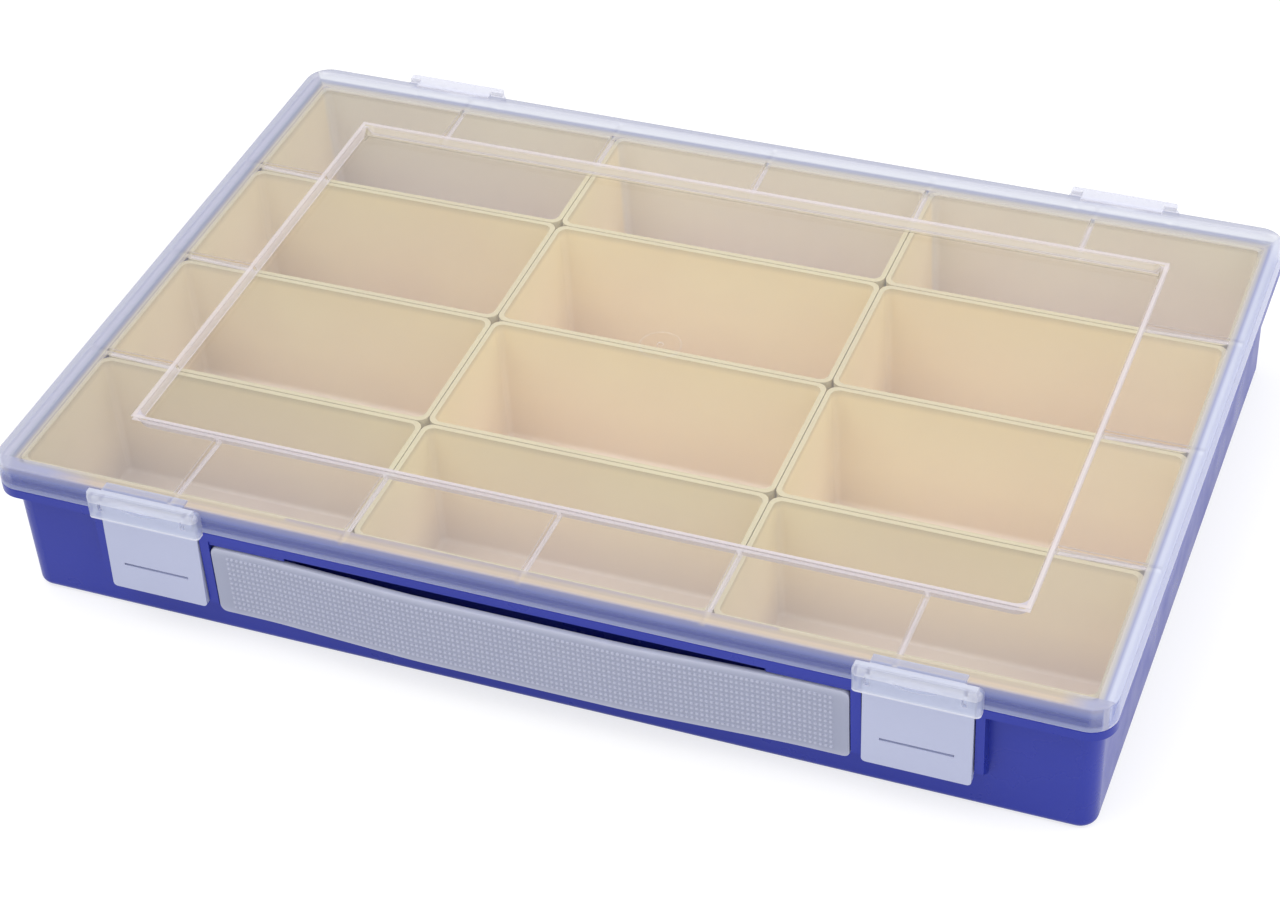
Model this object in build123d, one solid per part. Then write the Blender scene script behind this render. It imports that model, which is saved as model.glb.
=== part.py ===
from build123d import *
import os
from math import atan, degrees, hypot, radians, tan

# A shallow storage box for small parts. A base tray holds twelve loose bins in three columns
# and four rows, under a clear lid that turns on two clips at the back and is held by two
# hanging latches at the front. A flexible strap on the front wall is the handle.
#
# Millimetres. z = 0 is the underside of the base, x and y are zero at the middle of the lid,
# -y is the front, with the latches and the handle. In the functions that draw a side profile,
# "out" is the distance outwards from the rim's upright face and "up" is the height z.

# Base tray
BOX_WIDTH = 340.0
BOX_DEPTH = 226.0
RIM_CORNER_RADIUS = 8.0
RIM_TOP = 42.7
RIM_HEIGHT = 3.0
SIDE_INSET = 3.5
FRONT_INSET = 4.4
BACK_INSET = 3.4
WALL = 1.7
BASE_FLOOR = 2.0
WALL_CORNER_RADIUS = 6.0
WALL_DRAFT = 0.7
BASE_FOOT_RADIUS = 2.5

# Lid
LID_SEAT_GAP = 0.3
LID_HEIGHT = 8.5
LID_PLATE = 1.3
SKIRT = 1.5
LID_EDGE_RADIUS = 0.8
PANEL_DEPTH = 2.6
PANEL_SIDE_BAND = 32.3
PANEL_FRONT_BAND = 33.6
PANEL_BACK_BAND = 28.7
PANEL_CORNER_RADIUS = 4.0
PANEL_SLOPE = 1.1
GUSSET_THICKNESS = 1.4
GUSSET_AT_SKIRT = 1.4
UPSTAND_GAP = 0.5
GATE_RADIUS = 1.0
GATE_HEIGHT = 0.4

# Hoods on the lid's front and back edges, over the latches and the hinge clips
HOOD_WIDTH = 36.2
HOOD_OUT = 3.3
HOOD_WALL = 1.2
HOOD_CHEEK = 1.5
HOOD_DROP = 1.0
HOOD_BELOW_SKIRT = 0.9
HOOD_EDGE_RADIUS = 1.4
HOOD_CROWN_RADIUS = 1.2
HOOD_MOUTH_DEPTH = 1.6
HOOD_LIP = 0.4
PAD_WIDTH = 26.6
PAD_ABOVE_LID = 0.8
PAD_ONTO_LID = 2.4
PAD_EDGE_RADIUS = 0.4
BAR_WIDTH = 34.3
BAR_OUT = 3.7
BAR_THICKNESS = 2.4
BAR_HEIGHT = 3.9
BAR_EDGE_RADIUS = 0.7
SCOOP_WIDTH = 15.0
SCOOP_HEIGHT = 1.9
WINDOW_WIDTH = 1.6
WINDOW_HEIGHT = 3.0

# Latches and hinge clips: one moulding, a plate that hangs from a barrel with two end pins
CLIP_FROM_SIDE = 53.0
CLIP_WIDTH = 31.4
CLIP_THICKNESS = 2.0
CLIP_BOTTOM = 14.2
CLIP_LEAN = 2.7
CLIP_FACE_OUT = 0.3
CLIP_CORNER_RADIUS = 1.3
CLIP_SIDE_GAP = 0.4
AXIS_OUT = 0.4
AXIS_BELOW_LID = 6.5
BARREL_RADIUS = 1.4
BARREL_LENGTH = 25.2
PIN_RADIUS = 1.0
PIN_LENGTH = 2.0
PIN_CLEARANCE = 0.06
WEB_THICKNESS = 1.3
WEB_NOSE_RADIUS = 2.0
RUNNING_GAP = 0.3
SHOULDER_GAP = 0.6
HOOK_WIDTH = 20.0
HOOK_HEIGHT = 2.4
HOOK_TIP = 0.8
FLANGE_THICKNESS = 1.2
FLANGE_SLOPE = 2.0
SLIT_WIDTH = 21.3
SLIT_HEIGHT = 0.8
SLIT_DEPTH = 0.9
SLIT_ABOVE_BOTTOM = 9.1
CATCH_LIP = 1.1
HINGE_HOOD_ABOVE_AXIS = 0.8

# Ribs of the base beside the clips
POST_WIDTH = 3.0
POST_FOOT = 10.5
OUTER_RIB_WIDTH = 2.6
OUTER_RIB_FOOT = 13.6

# Handle recess and strap
RECESS_DEPTH = 1.6
RECESS_FOOT = 10.5
BAY_POST_FROM_BEND = 6.5
BAY_POST_RADIUS = 1.6
BAY_POST_GAP = 0.35
RAIL_HEIGHT = 1.5
RAIL_THICKNESS = 1.1
RAIL_BACK_FROM_FACE = 0.4
STRAP_HEIGHT = 25.1
STRAP_BELOW_RIM = 2.2
STRAP_THICKNESS = 2.0
STRAP_END_GAP = 0.35
STRAP_CORNER_RADIUS = 2.0
STRAP_BOW = 2.2
BEND_FROM_END = 17.55
BEND_INNER_X = 34.0
BEND_CLEARANCE = 0.08
LUG_WIDTH = 8.0
LUG_FROM_END = 4.6
LUG_ABOVE_STRAP = 1.9
LUG_SLOPE = 3.0

# Bins
BIN_COLUMNS = ("left", "centre", "right")
BIN_ROWS = ("front", "mid_front", "mid_back", "back")
BIN_GAP = 0.3
BIN_WALL = 1.5
BIN_FLOOR = 1.5
BIN_DRAFT = 1.0
BIN_CORNER_RADIUS = 3.4
BIN_FOOT_RADIUS = 2.0
BIN_INNER_RADIUS = 1.5

# Heights and faces that follow from the sizes above
RIM_BOTTOM = RIM_TOP - RIM_HEIGHT
LID_BOTTOM = RIM_TOP + LID_SEAT_GAP
LID_TOP = LID_BOTTOM + LID_HEIGHT
PLATE_UNDERSIDE = LID_TOP - LID_PLATE
PANEL_TOP = LID_TOP - PANEL_DEPTH
PANEL_UNDERSIDE = PANEL_TOP - LID_PLATE
GUSSET_BOTTOM = PLATE_UNDERSIDE - GUSSET_AT_SKIRT
UPSTAND_TOP = GUSSET_BOTTOM - UPSTAND_GAP
BIN_TOP = PANEL_UNDERSIDE - LID_SEAT_GAP
AXIS_UP = LID_TOP - AXIS_BELOW_LID
BAR_FOOT = LID_TOP + PAD_ABOVE_LID - BAR_HEIGHT
HALF_WIDTH = BOX_WIDTH / 2
HALF_DEPTH = BOX_DEPTH / 2
UPSTAND_X = HALF_WIDTH - SIDE_INSET
UPSTAND_FRONT = -HALF_DEPTH + FRONT_INSET
UPSTAND_BACK = HALF_DEPTH - BACK_INSET
DRAFT_INSET = UPSTAND_TOP * tan(radians(WALL_DRAFT))
CLIP_X = HALF_WIDTH - CLIP_FROM_SIDE
POCKET_HALF_WIDTH = CLIP_WIDTH / 2 + CLIP_SIDE_GAP
POST_INNER_X = CLIP_X - POCKET_HALF_WIDTH - POST_WIDTH
RECESS_FACE = UPSTAND_FRONT + RECESS_DEPTH
RECESS_PAD_FACE = RECESS_FACE + WALL
STRAP_TOP = RIM_BOTTOM - STRAP_BELOW_RIM
STRAP_BOTTOM = STRAP_TOP - STRAP_HEIGHT
STRAP_END_X = POST_INNER_X - STRAP_END_GAP
BEND_OUTER_X = STRAP_END_X - BEND_FROM_END
BAY_POST_X = BEND_OUTER_X - BAY_POST_FROM_BEND
STRAP_MID_Y = -HALF_DEPTH + STRAP_THICKNESS / 2
BEND_ANGLE = degrees(atan(STRAP_BOW / (BEND_OUTER_X - BEND_INNER_X)))


# General shapes

def span(x_low, x_high, y_low, y_high, z_low, z_high):
    """A box between the given limits."""
    centre = ((x_low + x_high) / 2, (y_low + y_high) / 2, (z_low + z_high) / 2)
    return Pos(*centre) * Box(x_high - x_low, y_high - y_low, z_high - z_low)


def plan(limits, radius, height):
    """A rounded rectangle at a height, from limits (x_low, x_high, y_low, y_high)."""
    x_low, x_high, y_low, y_high = limits
    centre = Pos((x_low + x_high) / 2, (y_low + y_high) / 2, height)
    return centre * RectangleRounded(x_high - x_low, y_high - y_low, radius)


def inset(limits, amount):
    """The same plan limits drawn in by an amount on all four sides."""
    x_low, x_high, y_low, y_high = limits
    return (x_low + amount, x_high - amount, y_low + amount, y_high - amount)


def tapered(limits, radius, top, bottom, lean):
    """A block from a rounded plan at its top, drawn in evenly by lean down to its bottom."""
    high = plan(limits, radius, top)
    low = plan(inset(limits, lean), radius - lean, bottom)
    return loft([low, high], ruled=True)


def across(points, x_low, x_high):
    """A prism along x from side-profile points (out, up) on the front of the box."""
    outline = [(-HALF_DEPTH - out, up) for out, up in points]
    face = Plane.YZ.offset(x_low) * Polygon(*outline, align=None)
    return extrude(face, amount=x_high - x_low, dir=(1, 0, 0))


def rod(radius, x_low, x_high):
    """A round bar along x on the hinge axis of the front clips."""
    start = Plane.YZ.offset(x_low) * Pos(-HALF_DEPTH - AXIS_OUT, AXIS_UP)
    return extrude(start * Circle(radius), amount=x_high - x_low)


def at_clips(shape):
    """Copies of a front shape, drawn about x = 0, at the left and right clips."""
    return [Pos(side * CLIP_X, 0, 0) * shape for side in (-1, 1)]


def at_back(shapes):
    """Front shapes turned over to the back of the box."""
    return [mirror(shape, about=Plane.XZ) for shape in shapes]


# Base tray

def wall_limits():
    """Plan limits of the base wall's outer face at the top."""
    return (-UPSTAND_X, UPSTAND_X, UPSTAND_FRONT, UPSTAND_BACK)


def tray_outside():
    """The tray's outer block: drafted walls, a rounded foot and the rim that the lid sits on."""
    walls = tapered(wall_limits(), WALL_CORNER_RADIUS, UPSTAND_TOP, 0, DRAFT_INSET)
    foot = walls.faces().sort_by(Axis.Z)[0].edges()
    walls = fillet(foot, BASE_FOOT_RADIUS)
    rim_limits = (-HALF_WIDTH, HALF_WIDTH, -HALF_DEPTH, HALF_DEPTH)
    rim = extrude(plan(rim_limits, RIM_CORNER_RADIUS, RIM_BOTTOM), RIM_HEIGHT)
    return walls + rim


def tray_inside():
    """The space inside the tray, less the pad behind the handle recess."""
    space = tapered(inset(wall_limits(), WALL), WALL_CORNER_RADIUS - WALL,
                    UPSTAND_TOP, BASE_FLOOR, DRAFT_INSET)
    pad_half_width = BAY_POST_X + BAY_POST_RADIUS
    pad = span(-pad_half_width, pad_half_width, UPSTAND_FRONT, RECESS_PAD_FACE, 0, UPSTAND_TOP)
    return space - pad


def rib(wall_inset, x_low, x_high, foot):
    """An upright rib from the wall to the rim's face, sloping back into the wall at its foot."""
    root = -wall_inset - WALL / 2
    points = [(root, RIM_BOTTOM + RIM_HEIGHT / 2), (0, RIM_BOTTOM + RIM_HEIGHT / 2),
              (0, foot + wall_inset), (root, foot)]
    return across(points, x_low, x_high)


def front_ribs():
    """Ribs on both sides of each latch; the inner ones run down beside the strap's ends."""
    post = rib(FRONT_INSET, -POCKET_HALF_WIDTH - POST_WIDTH, -POCKET_HALF_WIDTH, POST_FOOT)
    outer = rib(FRONT_INSET, POCKET_HALF_WIDTH, POCKET_HALF_WIDTH + OUTER_RIB_WIDTH, OUTER_RIB_FOOT)
    pair = Pos(CLIP_X, 0, 0) * (post + outer)
    return pair + mirror(pair, about=Plane.YZ)


def back_ribs():
    """The same outer ribs on both sides of each hinge clip."""
    outer = rib(BACK_INSET, POCKET_HALF_WIDTH, POCKET_HALF_WIDTH + OUTER_RIB_WIDTH, OUTER_RIB_FOOT)
    pair = outer + mirror(outer, about=Plane.YZ)
    return at_back(at_clips(pair))


def catch_out(wall_inset):
    """Where the catch's face stands: the rim is cut back to a short lip on the wall."""
    return CATCH_LIP - wall_inset


def clip_pocket(wall_inset):
    """The cut that takes the rim back to the catch behind a clip."""
    out = catch_out(wall_inset)
    points = [(out, RIM_BOTTOM - 1), (1, RIM_BOTTOM - 1), (1, RIM_TOP + 1), (out, RIM_TOP + 1)]
    return across(points, -POCKET_HALF_WIDTH, POCKET_HALF_WIDTH)


def clip_pockets():
    """The pockets behind the latches and the hinge clips."""
    return at_clips(clip_pocket(FRONT_INSET)) + at_back(at_clips(clip_pocket(BACK_INSET)))


def handle_recess():
    """The finger space behind the strap, cut into the wall between the two bay posts."""
    return span(-BAY_POST_X, BAY_POST_X, -HALF_DEPTH, RECESS_FACE, RECESS_FOOT, RIM_BOTTOM)


def bay_fittings():
    """On each side a round-nosed post beside the finger space and a rail over the lug's bay."""
    nose_y = -HALF_DEPTH + STRAP_THICKNESS + BAY_POST_GAP + BAY_POST_RADIUS
    height = RIM_BOTTOM - RECESS_FOOT + RIM_HEIGHT / 2
    nose = Pos(BAY_POST_X, nose_y, RECESS_FOOT + height / 2) * Cylinder(BAY_POST_RADIUS, height)
    stem = span(BAY_POST_X - BAY_POST_RADIUS, BAY_POST_X + BAY_POST_RADIUS,
                nose_y, RECESS_PAD_FACE, RECESS_FOOT, RIM_BOTTOM + RIM_HEIGHT / 2)
    rail_face = -HALF_DEPTH + RAIL_BACK_FROM_FACE
    rail = span(BAY_POST_X, POST_INNER_X + POST_WIDTH / 2, rail_face, rail_face + RAIL_THICKNESS,
                RIM_BOTTOM - RAIL_HEIGHT, RIM_BOTTOM + RIM_HEIGHT / 2)
    side = nose + stem + rail
    return side + mirror(side, about=Plane.YZ)


def base():
    """The blue tray."""
    body = tray_outside() - handle_recess()
    body = body + front_ribs() + back_ribs() + bay_fittings()
    body = body - clip_pockets()
    return body - tray_inside()


# Lid

def panel_limits():
    """Plan limits of the sunken panel at the lid's top surface."""
    x_edge = HALF_WIDTH - PANEL_SIDE_BAND
    return (-x_edge, x_edge, -HALF_DEPTH + PANEL_FRONT_BAND, HALF_DEPTH - PANEL_BACK_BAND)


def lid_shell():
    """The lid's plate and skirt, with its middle sunk between sloping sides."""
    outer_limits = (-HALF_WIDTH, HALF_WIDTH, -HALF_DEPTH, HALF_DEPTH)
    shell = extrude(plan(outer_limits, RIM_CORNER_RADIUS, LID_BOTTOM), LID_HEIGHT)
    top_edges = shell.faces().sort_by(Axis.Z)[-1].edges()
    shell = fillet(top_edges, LID_EDGE_RADIUS)
    hollow = plan(inset(outer_limits, SKIRT), RIM_CORNER_RADIUS - SKIRT, LID_BOTTOM)
    shell = shell - extrude(hollow, LID_HEIGHT - LID_PLATE)
    limits = panel_limits()
    tray = tapered(inset(limits, -LID_PLATE), PANEL_CORNER_RADIUS + LID_PLATE,
                   PLATE_UNDERSIDE, PANEL_UNDERSIDE, PANEL_SLOPE)
    sunk = tapered(limits, PANEL_CORNER_RADIUS, LID_TOP, PANEL_TOP, PANEL_SLOPE)
    return shell + tray - sunk


def gusset(near, far):
    """A tapering rib under the outer band, in the y-z plane at x = 0, from skirt to panel."""
    points = [(near, PLATE_UNDERSIDE + LID_PLATE / 2), (far, PLATE_UNDERSIDE + LID_PLATE / 2),
              (far, PANEL_UNDERSIDE), (near, GUSSET_BOTTOM)]
    face = Plane.YZ.offset(-GUSSET_THICKNESS / 2) * Polygon(*points, align=None)
    return extrude(face, amount=GUSSET_THICKNESS, dir=(1, 0, 0))


def gussets():
    """Gussets over every bin divider and halfway between, front, back and sides."""
    front_x = [step * bin_pitch_x() / 2 for step in (-2, -1, 0, 1, 2)]
    front = gusset(-HALF_DEPTH + SKIRT / 2, panel_limits()[2])
    back = gusset(HALF_DEPTH - SKIRT / 2, panel_limits()[3])
    ribs = [Pos(x, 0, 0) * rib for x in front_x for rib in (front, back)]
    side = Rot(0, 0, 90) * gusset(-HALF_WIDTH + SKIRT / 2, panel_limits()[0])
    for row in range(1, len(BIN_ROWS)):
        y = bin_front() + row * bin_pitch_y() - BIN_GAP / 2
        ribs.append(Pos(0, y, 0) * side)
        ribs.append(Pos(0, y, 0) * mirror(side, about=Plane.YZ))
    return ribs


def hood_outside(bottom):
    """The hood's rounded outer block at the front, about x = 0, down to a given height."""
    half = HOOD_WIDTH / 2
    top = LID_TOP - HOOD_DROP
    block = span(-half, half, -HALF_DEPTH - HOOD_OUT, -HALF_DEPTH + SKIRT, bottom, top)
    front_edges = block.faces().sort_by(Axis.Y)[0].edges().filter_by(Axis.Z)
    block = fillet(front_edges, HOOD_EDGE_RADIUS)
    crown = block.faces().sort_by(Axis.Z)[-1].edges().sort_by(Axis.Y)[:-1]
    return fillet(crown, HOOD_CROWN_RADIUS)


def hood_pad():
    """The raised pad from the lid's edge to the hood, and the wider bar across the hood's top."""
    half = PAD_WIDTH / 2
    top = LID_TOP + PAD_ABOVE_LID
    bar_back = -HALF_DEPTH - BAR_OUT + BAR_THICKNESS
    pad = span(-half, half, bar_back - BAR_THICKNESS / 2, -HALF_DEPTH + PAD_ONTO_LID,
               LID_TOP - LID_PLATE / 2, top)
    pad = fillet(pad.faces().sort_by(Axis.Z)[-1].edges(), PAD_EDGE_RADIUS)
    bar = span(-BAR_WIDTH / 2, BAR_WIDTH / 2, -HALF_DEPTH - BAR_OUT, bar_back, BAR_FOOT, top)
    ends = bar.faces().sort_by(Axis.Y)[0].edges().filter_by(Axis.Z)
    bar = fillet(ends, BAR_EDGE_RADIUS)
    bar = fillet(bar.faces().sort_by(Axis.Z)[-1].edges(), PAD_EDGE_RADIUS)
    return pad + bar


def hood_hollow():
    """The space inside a hood, open below and through the skirt."""
    half = HOOD_WIDTH / 2 - HOOD_CHEEK
    ceiling = LID_TOP - HOOD_DROP - HOOD_WALL
    return span(-half, half, -HALF_DEPTH - HOOD_OUT + HOOD_WALL, -HALF_DEPTH + SKIRT + 1,
                LID_BOTTOM - HOOD_BELOW_SKIRT - 1, ceiling)


def web_offset():
    """Distance from a clip's middle to the middle of each bearing web."""
    return BARREL_LENGTH / 2 + RUNNING_GAP + WEB_THICKNESS / 2


def bearing_webs():
    """Two webs in a hood that carry the clip's end pins, each with a round nose and a bore."""
    webs = []
    ceiling = LID_TOP - HOOD_DROP - HOOD_WALL / 2
    for side in (-1, 1):
        x_low = side * web_offset() - WEB_THICKNESS / 2
        x_high = x_low + WEB_THICKNESS
        upper = span(x_low, x_high, -HALF_DEPTH - HOOD_OUT + HOOD_WALL / 2, -HALF_DEPTH + SKIRT,
                     AXIS_UP, ceiling)
        nose = rod(WEB_NOSE_RADIUS, x_low, x_high)
        bore = rod(PIN_RADIUS + PIN_CLEARANCE, x_low - 1, x_high + 1)
        webs.append(upper + nose - bore)
    return webs


def windows():
    """Small upright openings in the hood's front wall, under the bar and over the pins' webs."""
    cuts = []
    for side in (-1, 1):
        x_low = side * web_offset() - WINDOW_WIDTH / 2
        cuts.append(span(x_low, x_low + WINDOW_WIDTH, -HALF_DEPTH - HOOD_OUT - 1,
                         -HALF_DEPTH - HOOD_OUT + HOOD_WALL, BAR_FOOT - WINDOW_HEIGHT, BAR_FOOT))
    return cuts


def scoop():
    """A bow-shaped opening in the hood's front wall, hanging from the foot of the bar."""
    radius = (SCOOP_WIDTH ** 2 / 4 + SCOOP_HEIGHT ** 2) / (2 * SCOOP_HEIGHT)
    disc = Pos(0, BAR_FOOT - SCOOP_HEIGHT + radius) * Circle(radius)
    below = Pos(0, BAR_FOOT - SCOOP_HEIGHT / 2) * Rectangle(SCOOP_WIDTH, SCOOP_HEIGHT)
    bow = Plane.XZ.offset(HALF_DEPTH + HOOD_OUT - HOOD_WALL) * (disc & below)
    return extrude(bow, amount=HOOD_WALL + BAR_OUT)


def latch_hood():
    """Solid added and space cut for a hood over a latch, at the front about x = 0."""
    lowest = LID_BOTTOM - HOOD_BELOW_SKIRT
    block = hood_outside(lowest)
    skirt_line = span(-HOOD_WIDTH, HOOD_WIDTH, -HALF_DEPTH - RUNNING_GAP, 0, lowest - 1, LID_BOTTOM)
    return block - skirt_line + hood_pad()


def latch_mouth():
    """The sloping cut that thins a latch hood's lower lip, so that the latch can swing out."""
    half = HOOD_WIDTH / 2 - HOOD_CHEEK
    lowest = LID_BOTTOM - HOOD_BELOW_SKIRT
    wall_inside = HOOD_OUT - HOOD_WALL
    behind = wall_inside - HOOD_WALL
    high = lowest + HOOD_MOUTH_DEPTH
    points = [(behind, high), (wall_inside, high), (HOOD_OUT - HOOD_LIP, lowest), (behind, lowest)]
    return across(points, -half, half)


def hinge_hood():
    """A hood over a hinge clip: its wall stops above the axis, so that the lid can turn back."""
    block = hood_outside(AXIS_UP + HINGE_HOOD_ABOVE_AXIS)
    for side in (-1, 1):
        x_high = HOOD_WIDTH / 2 if side > 0 else -HOOD_WIDTH / 2 + HOOD_CHEEK
        block = block + rod(WEB_NOSE_RADIUS, x_high - HOOD_CHEEK, x_high)
    return block + hood_pad()


def lid():
    """The clear lid."""
    body = lid_shell() + gussets()
    body = body + at_clips(latch_hood()) + at_back(at_clips(hinge_hood()))
    hollows = at_clips(hood_hollow())
    body = body - (hollows + at_back(hollows))
    webs = [part for one in bearing_webs() for part in at_clips(one)]
    body = body + webs + at_back(webs)
    front_cuts = [part for one in windows() + [latch_mouth()] for part in at_clips(one)]
    scoops = at_clips(scoop())
    body = body - (front_cuts + scoops + at_back(scoops))
    gate = Pos(0, (panel_limits()[2] + panel_limits()[3]) / 2, PANEL_TOP + GATE_HEIGHT / 2)
    return body + gate * Cylinder(GATE_RADIUS, GATE_HEIGHT)


# Latches and hinge clips

def plate_front(up):
    """How far out the clip's front face stands at a height; it leans out towards its foot."""
    return CLIP_FACE_OUT + (RIM_BOTTOM - up) * tan(radians(CLIP_LEAN))


def plate_back(up):
    """How far out the clip's back face stands at a height."""
    return plate_front(up) - CLIP_THICKNESS


def clip_plate():
    """The hanging plate, its two lower corners rounded."""
    half = CLIP_WIDTH / 2
    top = AXIS_UP - WEB_NOSE_RADIUS - SHOULDER_GAP
    plate = across([(plate_back(top), top), (plate_front(top), top),
                    (plate_front(CLIP_BOTTOM), CLIP_BOTTOM), (plate_back(CLIP_BOTTOM), CLIP_BOTTOM)],
                   -half, half)
    lower = plate.faces().sort_by(Axis.Z)[0].edges().filter_by(Axis.Y)
    return fillet(lower, CLIP_CORNER_RADIUS)


def clip_pivot():
    """The neck above the plate's shoulders, the barrel and its two end pins."""
    half = BARREL_LENGTH / 2
    low = AXIS_UP - WEB_NOSE_RADIUS - SHOULDER_GAP - CLIP_THICKNESS / 2
    neck = across([(plate_back(AXIS_UP), AXIS_UP), (AXIS_OUT, AXIS_UP),
                   (plate_front(low), low), (plate_back(low), low)], -half, half)
    barrel = rod(BARREL_RADIUS, -half, half)
    pins = rod(PIN_RADIUS, -half - PIN_LENGTH, half + PIN_LENGTH)
    return neck + barrel + pins


def clip_hook(hook_out):
    """The hook behind the plate, just under the rim, with a sloping underside."""
    top = RIM_BOTTOM - RUNNING_GAP
    root = plate_back(top) + CLIP_THICKNESS / 2
    points = [(root, top), (hook_out, top), (hook_out, top - HOOK_TIP), (root, top - HOOK_HEIGHT)]
    return across(points, -HOOK_WIDTH / 2, HOOK_WIDTH / 2)


def clip_flanges(back):
    """Two stiffening flanges behind the plate's sides, reaching back as far as the hook."""
    half = CLIP_WIDTH / 2
    top = RIM_BOTTOM - RUNNING_GAP - HOOK_HEIGHT
    foot = CLIP_BOTTOM + CLIP_CORNER_RADIUS
    root = CLIP_THICKNESS / 2
    points = [(plate_back(top) + root, top), (back, top - FLANGE_SLOPE), (back, foot + FLANGE_SLOPE),
              (plate_back(foot) + root, foot)]
    flange = across(points, half - FLANGE_THICKNESS, half)
    return flange + mirror(flange, about=Plane.YZ)


def clip_slit():
    """The groove across the plate's front face."""
    low = CLIP_BOTTOM + SLIT_ABOVE_BOTTOM
    high = low + SLIT_HEIGHT
    points = [(plate_front(low) - SLIT_DEPTH, low), (plate_front(high) - SLIT_DEPTH, high),
              (plate_front(high) + 1, high), (plate_front(low) + 1, low)]
    return across(points, -SLIT_WIDTH / 2, SLIT_WIDTH / 2)


def clip(hook_out):
    """One grey clip at the front about x = 0, whose hook reaches back to hook_out."""
    body = clip_plate() + clip_pivot() + clip_hook(hook_out) + clip_flanges(hook_out)
    return body - clip_slit()


def latch():
    """A front latch: its hook stands clear in front of the catch, so that the lid can rise."""
    return clip(catch_out(FRONT_INSET) + RUNNING_GAP)


def hinge_clip():
    """A hinge clip, drawn at the front: its hook bites under the catch and holds fast."""
    return clip(RUNNING_GAP - BACK_INSET)


# Strap handle

def upright(face, low=STRAP_BOTTOM, high=STRAP_TOP):
    """A plan face raised from one height to another."""
    return extrude(Pos(0, 0, low) * face, amount=high - low)


def bend(x, y, radius):
    """A disc in plan on one of the strap's bending lines."""
    return Pos(x, y) * Circle(radius)


def strap_end():
    """The right end of the strap: a flat plate with a lug behind it that runs in the bay."""
    middle = STRAP_MID_Y
    half = STRAP_THICKNESS / 2
    length = STRAP_END_X - BEND_OUTER_X
    strip = Pos(BEND_OUTER_X + length / 2, middle) * Rectangle(length, STRAP_THICKNESS)
    plate = upright(strip - bend(BEND_OUTER_X, middle, half + BEND_CLEARANCE))
    corners = plate.edges().filter_by(Axis.Y).group_by(Axis.X)[-1]
    plate = fillet(corners, STRAP_CORNER_RADIUS)
    outer = STRAP_END_X - LUG_FROM_END
    inner = outer - LUG_WIDTH
    top = STRAP_TOP + LUG_ABOVE_STRAP
    foot = STRAP_BOTTOM + STRAP_CORNER_RADIUS
    back = UPSTAND_FRONT - RUNNING_GAP
    front = -HALF_DEPTH + RAIL_BACK_FROM_FACE + RAIL_THICKNESS + RUNNING_GAP
    outline = Polygon((inner, foot), (outer, foot), (outer, STRAP_TOP), (outer - LUG_SLOPE, top),
                      (inner, top), align=None)
    lug = extrude(Plane.XZ.offset(-back) * outline, amount=back - front, dir=(0, -1, 0))
    return plate + lug


def strap_side():
    """The right side of the strap, between its two bending lines, round at both."""
    half = STRAP_THICKNESS / 2
    outer = (BEND_OUTER_X, STRAP_MID_Y)
    inner = (BEND_INNER_X, STRAP_MID_Y - STRAP_BOW)
    length = hypot(outer[0] - inner[0], outer[1] - inner[1])
    centre = Pos((outer[0] + inner[0]) / 2, (outer[1] + inner[1]) / 2)
    strip = centre * Rot(0, 0, BEND_ANGLE) * Rectangle(length, STRAP_THICKNESS)
    return upright(strip + bend(*outer, half) + bend(*inner, half))


def strap_grip():
    """The middle of the strap, where the fingers go."""
    middle = STRAP_MID_Y - STRAP_BOW
    half = STRAP_THICKNESS / 2
    strip = Pos(0, middle) * Rectangle(2 * BEND_INNER_X, STRAP_THICKNESS)
    for x in (-BEND_INNER_X, BEND_INNER_X):
        strip = strip - bend(x, middle, half + BEND_CLEARANCE)
    return upright(strip)


# Bins

def bin_space():
    """Plan limits of the space that the bins share, at their tops."""
    x_edge = UPSTAND_X - WALL
    return (-x_edge, x_edge, RECESS_PAD_FACE, UPSTAND_BACK - WALL)


def bin_pitch_x():
    """Distance between neighbouring columns."""
    x_low, x_high, _, _ = bin_space()
    return (x_high - x_low - BIN_GAP) / len(BIN_COLUMNS)


def bin_pitch_y():
    """Distance between neighbouring rows."""
    _, _, y_low, y_high = bin_space()
    return (y_high - y_low - BIN_GAP) / len(BIN_ROWS)


def bin_front():
    """The front face of the front row."""
    return bin_space()[2] + BIN_GAP


def open_bin():
    """One bin about x = 0, y = 0: drafted walls, a rounded foot and a curved inside."""
    half_x = (bin_pitch_x() - BIN_GAP) / 2
    half_y = (bin_pitch_y() - BIN_GAP) / 2
    top = (-half_x, half_x, -half_y, half_y)
    height = BIN_TOP - BASE_FLOOR
    lean = height * tan(radians(BIN_DRAFT))
    outside = tapered(top, BIN_CORNER_RADIUS, BIN_TOP, BASE_FLOOR, lean)
    foot_radius = BIN_CORNER_RADIUS - lean
    foot = outside.faces().sort_by(Axis.Z)[0].edges()
    outside = fillet(foot, min(BIN_FOOT_RADIUS, foot_radius - BIN_GAP))
    inner_radius = BIN_CORNER_RADIUS - BIN_WALL / 2
    inside = tapered(inset(top, BIN_WALL), inner_radius, BIN_TOP, BASE_FLOOR + BIN_FLOOR, lean)
    floor_edges = inside.faces().sort_by(Axis.Z)[0].edges()
    inside = fillet(floor_edges, min(BIN_INNER_RADIUS, inner_radius - lean - BIN_GAP))
    return outside - inside


def bins():
    """Every bin by its name, row by row."""
    shape = open_bin()
    placed = {}
    for row, row_name in enumerate(BIN_ROWS):
        y = bin_front() - BIN_GAP / 2 + (row + 0.5) * bin_pitch_y()
        for column, column_name in enumerate(BIN_COLUMNS):
            x = (column - (len(BIN_COLUMNS) - 1) / 2) * bin_pitch_x()
            placed[f"bin_{row_name}_{column_name}"] = Pos(x, y, 0) * shape
    return placed


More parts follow.
